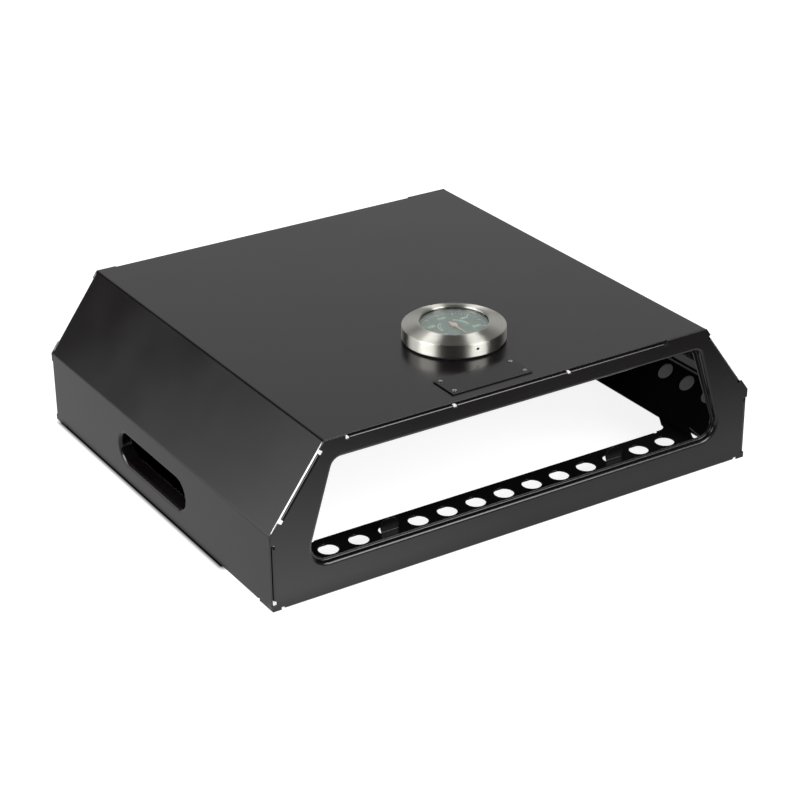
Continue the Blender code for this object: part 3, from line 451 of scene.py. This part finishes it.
# %% Lathe work
def arc_at_corner(before, corner, after, radius, steps):
    """The arc of one radius that touches both sides of a corner. Its points are the centre plus
    the radius times cosine and sine of angles spread evenly between the two touching points."""
    back, onward = before - corner, after - corner
    back, onward = back / np.linalg.norm(back), onward / np.linalg.norm(onward)
    half = math.acos(float(np.clip(back @ onward, -1, 1))) / 2
    middle = (back + onward) / np.linalg.norm(back + onward)
    centre = corner + middle * radius / math.sin(half)
    start = corner + back * radius / math.tan(half) - centre
    end = corner + onward * radius / math.tan(half) - centre
    first = math.atan2(start[1], start[0])
    sweep = math.remainder(math.atan2(end[1], end[0]) - first, math.tau)
    angles = first + sweep * np.linspace(0, 1, steps)
    return centre + radius * np.stack([np.cos(angles), np.sin(angles)], axis=-1)


def soft_profile(corners, radii, steps=6):
    """A closed profile with an arc at every corner that has a radius."""
    corners = np.asarray(corners, float)
    parts = []
    for number, radius in enumerate(radii):
        around = corners[number - 1], corners[number], corners[(number + 1) % len(corners)]
        parts.append(arc_at_corner(*around, radius, steps) if radius else around[1][None, :])
    return np.concatenate(parts)


def turned_places(profile, columns, centre):
    """Place = centre + (radius cos a, radius sin a, height), for each profile point and angle a."""
    angles = np.arange(columns) * (math.tau / columns)
    radius, height = profile[:, 0, None], profile[:, 1, None]
    flat = np.stack([centre[0] + radius * np.cos(angles), centre[1] + radius * np.sin(angles)], axis=-1)
    return np.concatenate([flat, np.broadcast_to(height[..., None], (*flat.shape[:2], 1))], axis=-1)


def turned_mesh(name, profile, columns, centre=None, sharp=40):
    """Closed lathe work from a closed profile, with its map measured in metres of surface."""
    centre = (axis_x, axis_y) if centre is None else centre
    places = turned_places(profile, columns, centre)
    steps = np.linalg.norm(np.diff(profile, axis=0), axis=1)
    along = np.concatenate([[0.0], np.cumsum(steps)])
    return grid_mesh(name, places, wrap_rows=True, wrap_columns=True, across=0.2, along=along, sharp=sharp)

# %% [markdown]
# The bezel is one spun cup of thin steel, upside down: a straight skirt with a rolled foot, a
# crisp shoulder, a long shallow cone and a lip that turns down to the glass. The lip is rounder
# than the rest and catches a thin line of light. The pin-hole lets damp out. The hole is cut from
# the finished mesh and the cutter is thrown away, so nothing else has to move.

# %% Bezel
BEZEL_WALL = 0.0008
PLAY = 0.0003
SKIRT_FOOT = thermometer_low.z
SKIRT_RADIUS = (thermometer_high.x - thermometer_low.x) / 2
INNER_RADIUS = SKIRT_RADIUS - BEZEL_WALL
LIP_TOP = thermometer_high.z
LIP_RADIUS = 0.0272
LIP_FALL = 0.0003
OPENING_RADIUS = 0.0252
SHOULDER_TOP = LIP_TOP - 0.0032
POCKET_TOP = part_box("thermometer_lens")[1].z + PLAY
PIN_HOLE_ANGLE = math.radians(-97)
PIN_HOLE_Z = HOOD_TOP + 0.0072
PIN_HOLE_RADIUS = 0.0011
PIN_BAR_LENGTH = 0.0040

bezel_corners = [
    (SKIRT_RADIUS, SKIRT_FOOT), (SKIRT_RADIUS, SHOULDER_TOP), (LIP_RADIUS, LIP_TOP),
    (OPENING_RADIUS, LIP_TOP - LIP_FALL), (OPENING_RADIUS, POCKET_TOP), (LIP_RADIUS, POCKET_TOP),
    (INNER_RADIUS, SHOULDER_TOP - BEZEL_WALL), (INNER_RADIUS, SKIRT_FOOT),
]
bezel_rounds = [0.00035, 0.0006, 0.0011, 0.00045, 0, 0, 0, 0.00035]
bezel_mesh = turned_mesh("bezel_ring", soft_profile(bezel_corners, bezel_rounds, 7), 192, sharp=60)


def cut_pin_hole(mesh, angle, height, radius):
    """Takes a short round bar, laid along the radius at an angle, out of a ring's wall."""
    work = bmesh.new()
    size_of_bar = {"radius1": radius, "radius2": radius, "depth": PIN_BAR_LENGTH}
    bmesh.ops.create_cone(work, cap_ends=True, segments=24, **size_of_bar)
    bar = bpy.data.meshes.new("pin_hole_bar")
    reach = SKIRT_RADIUS - BEZEL_WALL / 2
    place = Matrix.Translation((axis_x + reach * math.cos(angle), axis_y + reach * math.sin(angle), height))
    work.transform(place @ Matrix.Rotation(angle, 4, "Z") @ Matrix.Rotation(math.pi / 2, 4, "Y"))
    work.to_mesh(bar)
    work.free()
    ring, cutter = bpy.data.objects.new("ring", mesh), bpy.data.objects.new("cutter", bar)
    for item in (ring, cutter):
        bpy.context.scene.collection.objects.link(item)
    cut = ring.modifiers.new("cut", "BOOLEAN")
    cut.operation, cut.object = "DIFFERENCE", cutter
    seen_ring = ring.evaluated_get(bpy.context.evaluated_depsgraph_get())
    drilled = bpy.data.meshes.new_from_object(seen_ring)
    for item in (ring, cutter):
        bpy.data.objects.remove(item)
    drilled.name = mesh.name + "_drilled"
    drilled.set_sharp_from_angle(angle=math.radians(60))
    return drilled


drilled = cut_pin_hole(bezel_mesh, PIN_HOLE_ANGLE, PIN_HOLE_Z, PIN_HOLE_RADIUS)
bezel = new_piece("bezel_ring", drilled, "oven", ["thermometer_bezel"], bezel_steel)
lead = bezel.modifiers.new("flat_faces_lead", "WEIGHTED_NORMAL")
lead.weight, lead.keep_sharp = 50, True

# %% [markdown]
# Under the bezel lies a thin black ring that keeps water out of the hood, and inside it a pane of
# glass with ground edges. Both are plain profiles with soft corners. A low crease angle keeps
# their flat faces flat in the light, right up to the rounded edges.

# %% Gasket and glass
GASKET_BORE = 0.0314
WASHER_BORE = 0.0050


def ring_of(name, node, inner, edge, body, finish, columns=128):
    """A flat ring or disc as wide and as tall as its node, with rounded edges."""
    low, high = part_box(node)
    outer = (high.x - low.x) / 2
    corners = [(inner, low.z), (outer, low.z), (outer, high.z), (inner, high.z)]
    radii = [edge if inner else 0, edge, edge, edge if inner else 0]
    mesh = turned_mesh(name, soft_profile(corners, radii, 4), columns, sharp=12)
    return new_piece(name, mesh, body, [node], finish)


ring_of("gasket_ring", "base_gasket", GASKET_BORE, 0.00025, "oven", rubber)
ring_of("glass_pane", "thermometer_lens", 0.0, 0.0003, "oven", clear_glass, 160)
ring_of("clamp_washer_ring", "clamp_washer", WASHER_BORE, 0.0002, "oven", inner_steel, 64)

# %% [markdown]
# The dial is grey-green enamel with a pale printed scale. Print has a real thickness, so it is
# made as very thin raised shapes: short radial ticks and arcs from one helper, and the numbers
# from Blender's own text, made into a mesh and then set in place. The needle rests at the front,
# by the cook, and turns clockwise as it warms, so the scale starts there.

# %% Dial print
DIAL_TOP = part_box("thermometer_dial")[1].z
PRINT_HEIGHT = 0.00006
SWEEP = math.radians(300)
SCALE_TOP, SCALE_STEP, LONG_STEP, NUMBER_STEP = 500, 10, 50, 100
LONG_MARK, SHORT_MARK, MARK_OUTER = (0.0205, 0.016), (0.0222, 0.008), 0.0240
NUMBER_RADIUS, NUMBER_HEIGHT = 0.0164, 0.0046
BANDS = ((0.0112, 0.0118), (0.0098, 0.0101))
BAND_MIDDLES, BAND_HALF = (155, 25), 38


def scale_angle(value):
    """The scale's zero points at the cook, -90 degrees, and each step turns clockwise."""
    return -math.pi / 2 - SWEEP * value / SCALE_TOP


def arc_band(inner, outer, start, end, steps):
    """A flat arc: radius goes from inner to outer, angle from start to end, on the dial."""
    radius = np.array([inner, outer])[:, None]
    angle = np.linspace(start, end, steps)[None, :]
    x, y = axis_x + radius * np.cos(angle), axis_y + radius * np.sin(angle)
    return np.stack([x, y, np.full_like(x, DIAL_TOP + PRINT_HEIGHT)], axis=-1)


def joined(name, meshes):
    """One mesh of many, corner by corner."""
    work = bmesh.new()
    for mesh in meshes:
        work.from_mesh(mesh)
    whole = bpy.data.meshes.new(name)
    work.to_mesh(whole)
    work.free()
    return whole


def number_mesh(text, height, angle, radius):
    """A number read from the front, with its middle at an angle and radius on the dial."""
    curve = bpy.data.curves.new("number", "FONT")
    curve.body, curve.size = text, height
    curve.align_x, curve.align_y = "CENTER", "CENTER"
    writer = bpy.data.objects.new("number", curve)
    bpy.context.scene.collection.objects.link(writer)
    mesh = bpy.data.meshes.new_from_object(writer.evaluated_get(bpy.context.evaluated_depsgraph_get()))
    bpy.data.objects.remove(writer)
    x, y = axis_x + radius * math.cos(angle), axis_y + radius * math.sin(angle)
    mesh.transform(Matrix.Translation((x, y, DIAL_TOP + PRINT_HEIGHT)))
    return mesh


def flat_mesh(name, places):
    """A grid of places as a flat mesh."""
    mesh = bpy.data.meshes.new(name)
    faces = grid_faces(*places.shape[:2], False, False)
    mesh.from_pydata(places.reshape(-1, 3).tolist(), [], faces.tolist())
    return mesh


marks = []
for value in range(0, SCALE_TOP + 1, SCALE_STEP):
    inner, half = SHORT_MARK if value % LONG_STEP else LONG_MARK
    angle = scale_angle(value)
    marks.append(flat_mesh("mark", arc_band(inner, MARK_OUTER, angle + half, angle - half, 3)))
numbers = [number_mesh(str(value), NUMBER_HEIGHT, scale_angle(value), NUMBER_RADIUS)
           for value in range(NUMBER_STEP, SCALE_TOP + 1, NUMBER_STEP)]
bands = []
for middle in BAND_MIDDLES:
    start, end = math.radians(middle + BAND_HALF), math.radians(middle - BAND_HALF)
    bands += [flat_mesh("band", arc_band(inner, outer, start, end, 40)) for inner, outer in BANDS]
print_mesh = joined("dial_print", marks + numbers + bands)
thick = bmesh.new()
thick.from_mesh(print_mesh)
bmesh.ops.recalc_face_normals(thick, faces=thick.faces)
bmesh.ops.reverse_faces(thick, faces=[face for face in thick.faces if face.normal.z < 0])
bmesh.ops.solidify(thick, geom=thick.faces[:], thickness=PRINT_HEIGHT * 0.9)
thick.to_mesh(print_mesh)
thick.free()
new_piece("dial_print", print_mesh, "oven", [], ink)
print("ticks", len(marks), "numbers", len(numbers))

# %% [markdown]
# The needle is stamped from thin sheet: a slim blade with a ridge along its middle, widest near
# the hub and tapering to the tip, with a short tail that balances it. Half its width is a function
# of the distance along it. A domed cap covers the hub. Both turn with the spindle.

# %% Needle
needle_low, needle_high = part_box("thermometer_pointer")
NEEDLE_REACH = axis_y - needle_low.y
NEEDLE_TAIL = needle_high.y - axis_y
TAIL_HALF, TIP_HALF = 0.00125, 0.00030
EDGE_LIFT, RIDGE_LIFT = 0.00015, 0.00010
CAP_RADIUS, CAP_RISE = 0.0026, 0.0007


def needle_places(rows):
    """Rows run from tail to tip. Half the width falls in a line from the tail's to the tip's, and
    each row is a flat kite of four corners: left edge, ridge, right edge and underside."""
    distance = np.linspace(-NEEDLE_TAIL, NEEDLE_REACH, rows)
    share = (distance + NEEDLE_TAIL) / (NEEDLE_TAIL + NEEDLE_REACH)
    half = TAIL_HALF - (TAIL_HALF - TIP_HALF) * share
    half[0], half[-1] = half[0] * 0.7, half[-1] * 0.5
    side = np.array([-1.0, 0.0, 1.0, 0.0])
    edge = needle_low.z + EDGE_LIFT
    height = np.array([edge, needle_high.z + RIDGE_LIFT, edge, needle_low.z])
    x = axis_x + half[:, None] * side
    y = np.broadcast_to((axis_y - distance)[:, None], x.shape)
    return np.stack([x, y, np.broadcast_to(height, x.shape)], axis=-1)


def capped(mesh):
    """Closes the two open ends of a tube."""
    work = bmesh.new()
    work.from_mesh(mesh)
    open_edges = [edge for edge in work.edges if edge.is_boundary]
    bmesh.ops.holes_fill(work, edges=open_edges)
    bmesh.ops.recalc_face_normals(work, faces=work.faces)
    work.to_mesh(mesh)
    work.free()
    return mesh


needle_mesh = capped(grid_mesh("needle", needle_places(30), wrap_columns=True, sharp=12))
new_piece("needle", needle_mesh, "pointer", ["thermometer_pointer"], needle_paint)
cap_angles = np.linspace(0, math.pi / 2, 9)
dome_height = needle_high.z + CAP_RISE * np.sin(cap_angles)
cap_dome = np.stack([CAP_RADIUS * np.cos(cap_angles), dome_height], axis=-1)
cap_profile = np.concatenate([cap_dome, [[0.0, needle_low.z], [CAP_RADIUS, needle_low.z]]])
cap_mesh = turned_mesh("needle_cap", cap_profile, 48)
new_piece("needle_cap", cap_mesh, "pointer", [], needle_paint)

# %% [markdown]
# The plate on the hood's top is a bare black plate with softened edges. Four solid rivets hold it,
# each with a low dome that came off the rivet set: height falls from the middle with the square
# of the distance, and a thin flat brim runs round the dome.

# %% Plate and rivets
PLATE_EDGE = 0.00022
HEAD_RADIUS, HEAD_HEIGHT, BRIM_SHARE = 0.0016, 0.0008, 0.12
STEM_RADIUS, TAIL_RADIUS, TAIL_HEIGHT = 0.0009, 0.0013, 0.0008

plate_mesh = merged_copy("bare_plate", "nameplate")
plate = new_piece("bare_plate", plate_mesh, "oven", ["nameplate"], plate_paint)
rounded_edges(plate, CUT_DEGREES, PLATE_EDGE)


def rivet_profile(low, high):
    """From the middle of the dome out to its brim, down the shank and to the formed tail."""
    reach = np.linspace(0, 1, 10)
    seat = high - HEAD_HEIGHT
    rise = HEAD_HEIGHT * (BRIM_SHARE + (1 - BRIM_SHARE) * (1 - reach ** 2))
    dome = np.stack([HEAD_RADIUS * reach, seat + rise], axis=-1)
    stem = [(HEAD_RADIUS, seat), (STEM_RADIUS, seat), (STEM_RADIUS, low + TAIL_HEIGHT)]
    tail = [(TAIL_RADIUS, low + 0.0007), (TAIL_RADIUS, low + 0.0002), (0.0010, low), (0.0, low)]
    return np.concatenate([dome, stem, tail])


for number in range(1, 5):
    low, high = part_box(f"nameplate_rivet_{number}")
    centre = ((low.x + high.x) / 2, (low.y + high.y) / 2)
    name = f"rivet_{number}"
    rivet_mesh = turned_mesh(name, rivet_profile(low.z, high.z), 40, centre)
    new_piece(name, rivet_mesh, "oven", [f"nameplate_{name}"], rivet_metal)

# %% [markdown]
# Below the hood's top the thermometer ends in a threaded shank with a nut. A thread is a ridge
# that climbs by one pitch in every turn: on a tube, the radius is a wave of the height divided by
# the pitch plus the angle divided by a full turn. Written so, the whole thread is one grid.

# %% Threaded shank and nut
shank_low, shank_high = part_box("threaded_shank")
CREST, ROOT, BORE, COLLAR = 0.0047, 0.0042, 0.0033, (shank_high.x - shank_low.x) / 2
PITCH, RUN_OUT = 0.0015, 0.0008
THREAD_TOP = HOOD_TOP - 0.0016
COLLAR_LOW, COLLAR_HIGH = HOOD_TOP + PLAY, HOOD_TOP + 0.0014
NUT_CHAMFER, NUT_DEGREES = 0.0004, 35


def shank_places(columns):
    """Thread rows use the wave and fade to a plain tube at both ends. Then come the collar,
    the neck inside the case and the bore."""
    angle = np.arange(columns) * (math.tau / columns)
    height = np.linspace(shank_low.z, THREAD_TOP, 90)
    turns = height[:, None] / PITCH - angle / math.tau
    wave = 1 - np.abs(2 * (turns % 1.0) - 1)
    ends = (np.minimum(height - shank_low.z, THREAD_TOP - height) / RUN_OUT).clip(0, 1)
    thread = ROOT + (CREST - ROOT) * wave * ends[:, None] + (CREST - ROOT) * (1 - ends[:, None])
    plain = np.array([
        (CREST, COLLAR_LOW), (COLLAR, COLLAR_LOW), (COLLAR, COLLAR_HIGH), (CREST, COLLAR_HIGH),
        (CREST, shank_high.z), (BORE, shank_high.z), (BORE, shank_low.z),
    ])
    radius = np.concatenate([thread, np.broadcast_to(plain[:, :1], (len(plain), columns))])
    z = np.concatenate([height, plain[:, 1]])[:, None]
    x, y = axis_x + radius * np.cos(angle), axis_y + radius * np.sin(angle)
    return np.stack([x, y, np.broadcast_to(z, x.shape)], axis=-1)


shank_mesh = grid_mesh("shank_with_thread", shank_places(64), wrap_rows=True, wrap_columns=True, sharp=35)
new_piece("shank_with_thread", shank_mesh, "oven", ["threaded_shank"], inner_steel)
nut_mesh = merged_copy("hexagon_nut", "clamp_nut")
nut = new_piece("hexagon_nut", nut_mesh, "oven", ["clamp_nut"], inner_steel)
rounded_edges(nut, NUT_DEGREES, NUT_CHAMFER)

# %% [markdown]
# What is left are plain solids whose shape is already right: the cup, its dial and rings, the
# probe and the works inside it. They keep their own meshes and only get a finish.

# %% Finishes of the plain solids
KEPT = {
    "thermometer_case": inner_steel, "dial_support_ring": inner_steel, "probe_tube": inner_steel,
    "bimetal_coil": inner_steel, "pointer_spindle": inner_steel, "spindle_bush": brass,
    "lens_seal": rubber, "thermometer_dial": enamel,
}
for node, finish in KEPT.items():
    for slot in nodes[node].material_slots:
        slot.material = finish
print("kept solids:", len(KEPT))

# %% [markdown]
# Floor, walls of light and background. The floor is one pale sheet, seen as white by the camera
# and by shiny surfaces, and it still darkens where the oven shades it. On the strip under the left
# wing, which the hand-hold looks at, the shadow is painted: there the floor is black. Black gloss
# shows what it mirrors and little else, so the floor and the sky are a map of what the paint should
# mirror. The front face mirrors the floor before the mouth: a painted pool of light, which only shiny
# surfaces see, lies at its left corner and fades to the right and towards the cook. The top mirrors
# an even sky behind the oven, and the left slope a sky that is dark in the middle and bright far to
# the left. Two large soft boxes stand to the left and to the right of the camera, as is usual for
# metal: each draws one broad bright band on the bezel, with a darker band between them.

# %% Floor and light
WHITE = (1.0, 1.0, 1.0, 1.0)
FLOOR_REACH = 12.0
WHITE_FLOOR, LIT_FLOOR, EVEN_FLOOR = 0.88, 0.32, 0.64
BOUNCED_FLOOR = (0.75, 0.75, 0.75, 1.0)
SOFT_SKY, BRIGHT_SKY = 0.55, 2.6
BEHIND_OVEN = (0.5329, 0.8463, 0.0)


def pale_floor(reach):
    """A flat square sheet at the height that the oven stands on."""
    corner = np.array([[-1.0, -1.0, 0.0], [1.0, -1.0, 0.0], [1.0, 1.0, 0.0], [-1.0, 1.0, 0.0]]) * reach
    mesh = bpy.data.meshes.new("floor")
    mesh.from_pydata((corner + [0.0, 0.0, -0.0002]).tolist(), [], [(0, 1, 2, 3)])
    floor = bpy.data.objects.new("floor", mesh)
    bpy.context.scene.collection.objects.link(floor)
    return floor


def seen_share(tree):
    """1 for rays that show the background: from the camera, off shiny surfaces and through glass."""
    path = tree.nodes.new("ShaderNodeLightPath").outputs
    either = maths(tree, "MAXIMUM", path["Is Camera Ray"], path["Is Glossy Ray"])
    return maths(tree, "MAXIMUM", either, path["Is Transmission Ray"])


def under_left_wing(tree, axes):
    """1 on the strip of floor that the hand-hold looks at, where a painted shadow lies: there the floor is
    black and gives no white.
    """
    across = inside(tree, axes[0], -0.205, -0.162, 0.004)
    return maths(tree, "MULTIPLY", across, inside(tree, axes[1], -0.100, 0.165, 0.008))


def mirrored_floor(tree, axes):
    """How bright the paint mirrors the floor, as a glow that only shiny surfaces see: even, but before
    the mouth a painted pool of light that falls from the left corner to the right and towards the cook."""
    from_corner = remap(tree, axes[0], -0.18, 0.02, 0.0, 0.55)
    to_right = remap(tree, axes[0], -0.18, 0.52, 0.0, 0.45)
    to_cook = remap(tree, axes[1], -0.60, -0.20, 1.45, 0.0)
    fall = maths(tree, "ADD", from_corner, maths(tree, "ADD", to_right, to_cook))
    pool = remap(tree, fall, 0.0, 1.40, 1.58, 0.14)
    before_mouth = remap(tree, axes[1], -0.190, -0.160, 1.0, 0.0)
    return level_between(tree, before_mouth, EVEN_FLOOR, pool)


def white_floor_finish(share_of_white):
    """Part of the white is given, and the rest has to come from the lamps, so shadows stay.
    Under the left wing lies a painted shadow: none of the white is given and the floor's colour is black."""
    finish = bpy.data.materials.new("pale_floor")
    finish.use_nodes = True
    tree = finish.node_tree
    tree.nodes.clear()
    axes = axes_of(tree, tree.nodes.new("ShaderNodeTexCoord").outputs["Object"])
    # The share of the floor outside the painted shadow under the left wing.
    outside_painted_shadow = remap(tree, under_left_wing(tree, axes), 0.0, 1.0, 1.0, 0.0)

    def glow(level):
        strength = maths(tree, "MULTIPLY", outside_painted_shadow, level)
        return link_in(tree, "ShaderNodeEmission", Color=WHITE, Strength=strength).outputs[0]

    def mixed(share, first, second):
        return link_in(tree, "ShaderNodeMixShader", i0=share, i1=first, i2=second).outputs[0]

    # On the painted shadow the floor's colour is black.
    lit_colour = maths(tree, "MULTIPLY", outside_painted_shadow, LIT_FLOOR)
    lit = link_in(tree, "ShaderNodeBsdfDiffuse", Color=lit_colour).outputs[0]
    plain = link_in(tree, "ShaderNodeAddShader", i0=glow(share_of_white), i1=lit).outputs[0]
    is_gloss = tree.nodes.new("ShaderNodeLightPath").outputs["Is Glossy Ray"]
    # Shiny surfaces see the painted pool of light in place of the plain floor.
    shown = mixed(is_gloss, plain, glow(mirrored_floor(tree, axes)))
    bounce = link_in(tree, "ShaderNodeBsdfDiffuse", Color=BOUNCED_FLOOR).outputs[0]
    link_in(tree, "ShaderNodeOutputMaterial", Surface=mixed(seen_share(tree), bounce, shown))
    return finish


def soft_box(name, azimuth, elevation, distance, width, height, strength):
    """An area lamp at a bearing from the camera's own, aimed at the oven's middle."""
    bearing = math.atan2(CAMERA_BACK[1], CAMERA_BACK[0]) + math.radians(azimuth)
    rise = math.radians(elevation)
    away = np.array([math.cos(bearing) * math.cos(rise), math.sin(bearing) * math.cos(rise), math.sin(rise)])
    place = away * distance + np.array([0.0, 0.0, 0.06])
    side = np.array([-math.sin(bearing), math.cos(bearing), 0.0])
    data = bpy.data.lights.new(name, "AREA")
    data.shape = "RECTANGLE"
    data.size, data.size_y = width, height
    data.energy = strength
    lamp = bpy.data.objects.new(name, data)
    lamp.matrix_world = camera_matrix(place, away, side, 0.0)
    bpy.context.scene.collection.objects.link(lamp)
    return lamp


def mirrored_sky(tree):
    """How bright shiny surfaces see the sky in each direction. It is even behind the oven and dark
    at the sides of the camera. Behind and to the left it is dark, then bright far to the left."""
    direction = tree.nodes.new("ShaderNodeTexCoord").outputs["Generated"]
    turned = {"i0": direction, "i1": BEHIND_OVEN}
    away = link_in(tree, "ShaderNodeVectorMath", {"operation": "DOT_PRODUCT"}, **turned)
    open_sky = remap(tree, away.outputs["Value"], 0.45, 0.80, 0.03, 0.56)
    bearing = axes_of(tree, direction)
    behind = remap(tree, bearing[1], 0.1, 0.4, 0.0, 1.0)
    dark_side = maths(tree, "MULTIPLY", behind, remap(tree, bearing[0], -0.25, 0.05, 1.0, 0.0))
    edge = remap(tree, bearing[0], -0.63, -0.50, 1.0, 0.0)
    bright_side = maths(tree, "MULTIPLY", behind, maths(tree, "MULTIPLY", edge, edge))
    return level_between(tree, bright_side, level_between(tree, dark_side, open_sky, 0.0), BRIGHT_SKY)


floor = pale_floor(FLOOR_REACH)
floor.data.materials.append(white_floor_finish(WHITE_FLOOR))
soft_box("left_soft_box", -60, 34, 2.2, 1.3, 1.3, 46)
soft_box("right_soft_box", 55, 34, 2.2, 1.3, 1.3, 45)

world = bpy.data.worlds.new("studio")
world.use_nodes = True
bpy.context.scene.world = world
sky_tree = world.node_tree
sky_tree.nodes.clear()
path = sky_tree.nodes.new("ShaderNodeLightPath").outputs
unlit = level_between(sky_tree, path["Is Glossy Ray"], SOFT_SKY, mirrored_sky(sky_tree))
plain = maths(sky_tree, "MAXIMUM", path["Is Camera Ray"], path["Is Transmission Ray"])
strength = level_between(sky_tree, plain, unlit, 1.0)
sky = link_in(sky_tree, "ShaderNodeBackground", Color=WHITE, Strength=strength)
link_in(sky_tree, "ShaderNodeOutputWorld", Surface=sky.outputs[0])
bpy.context.scene.view_settings.view_transform = "Standard"
print("studio ready")
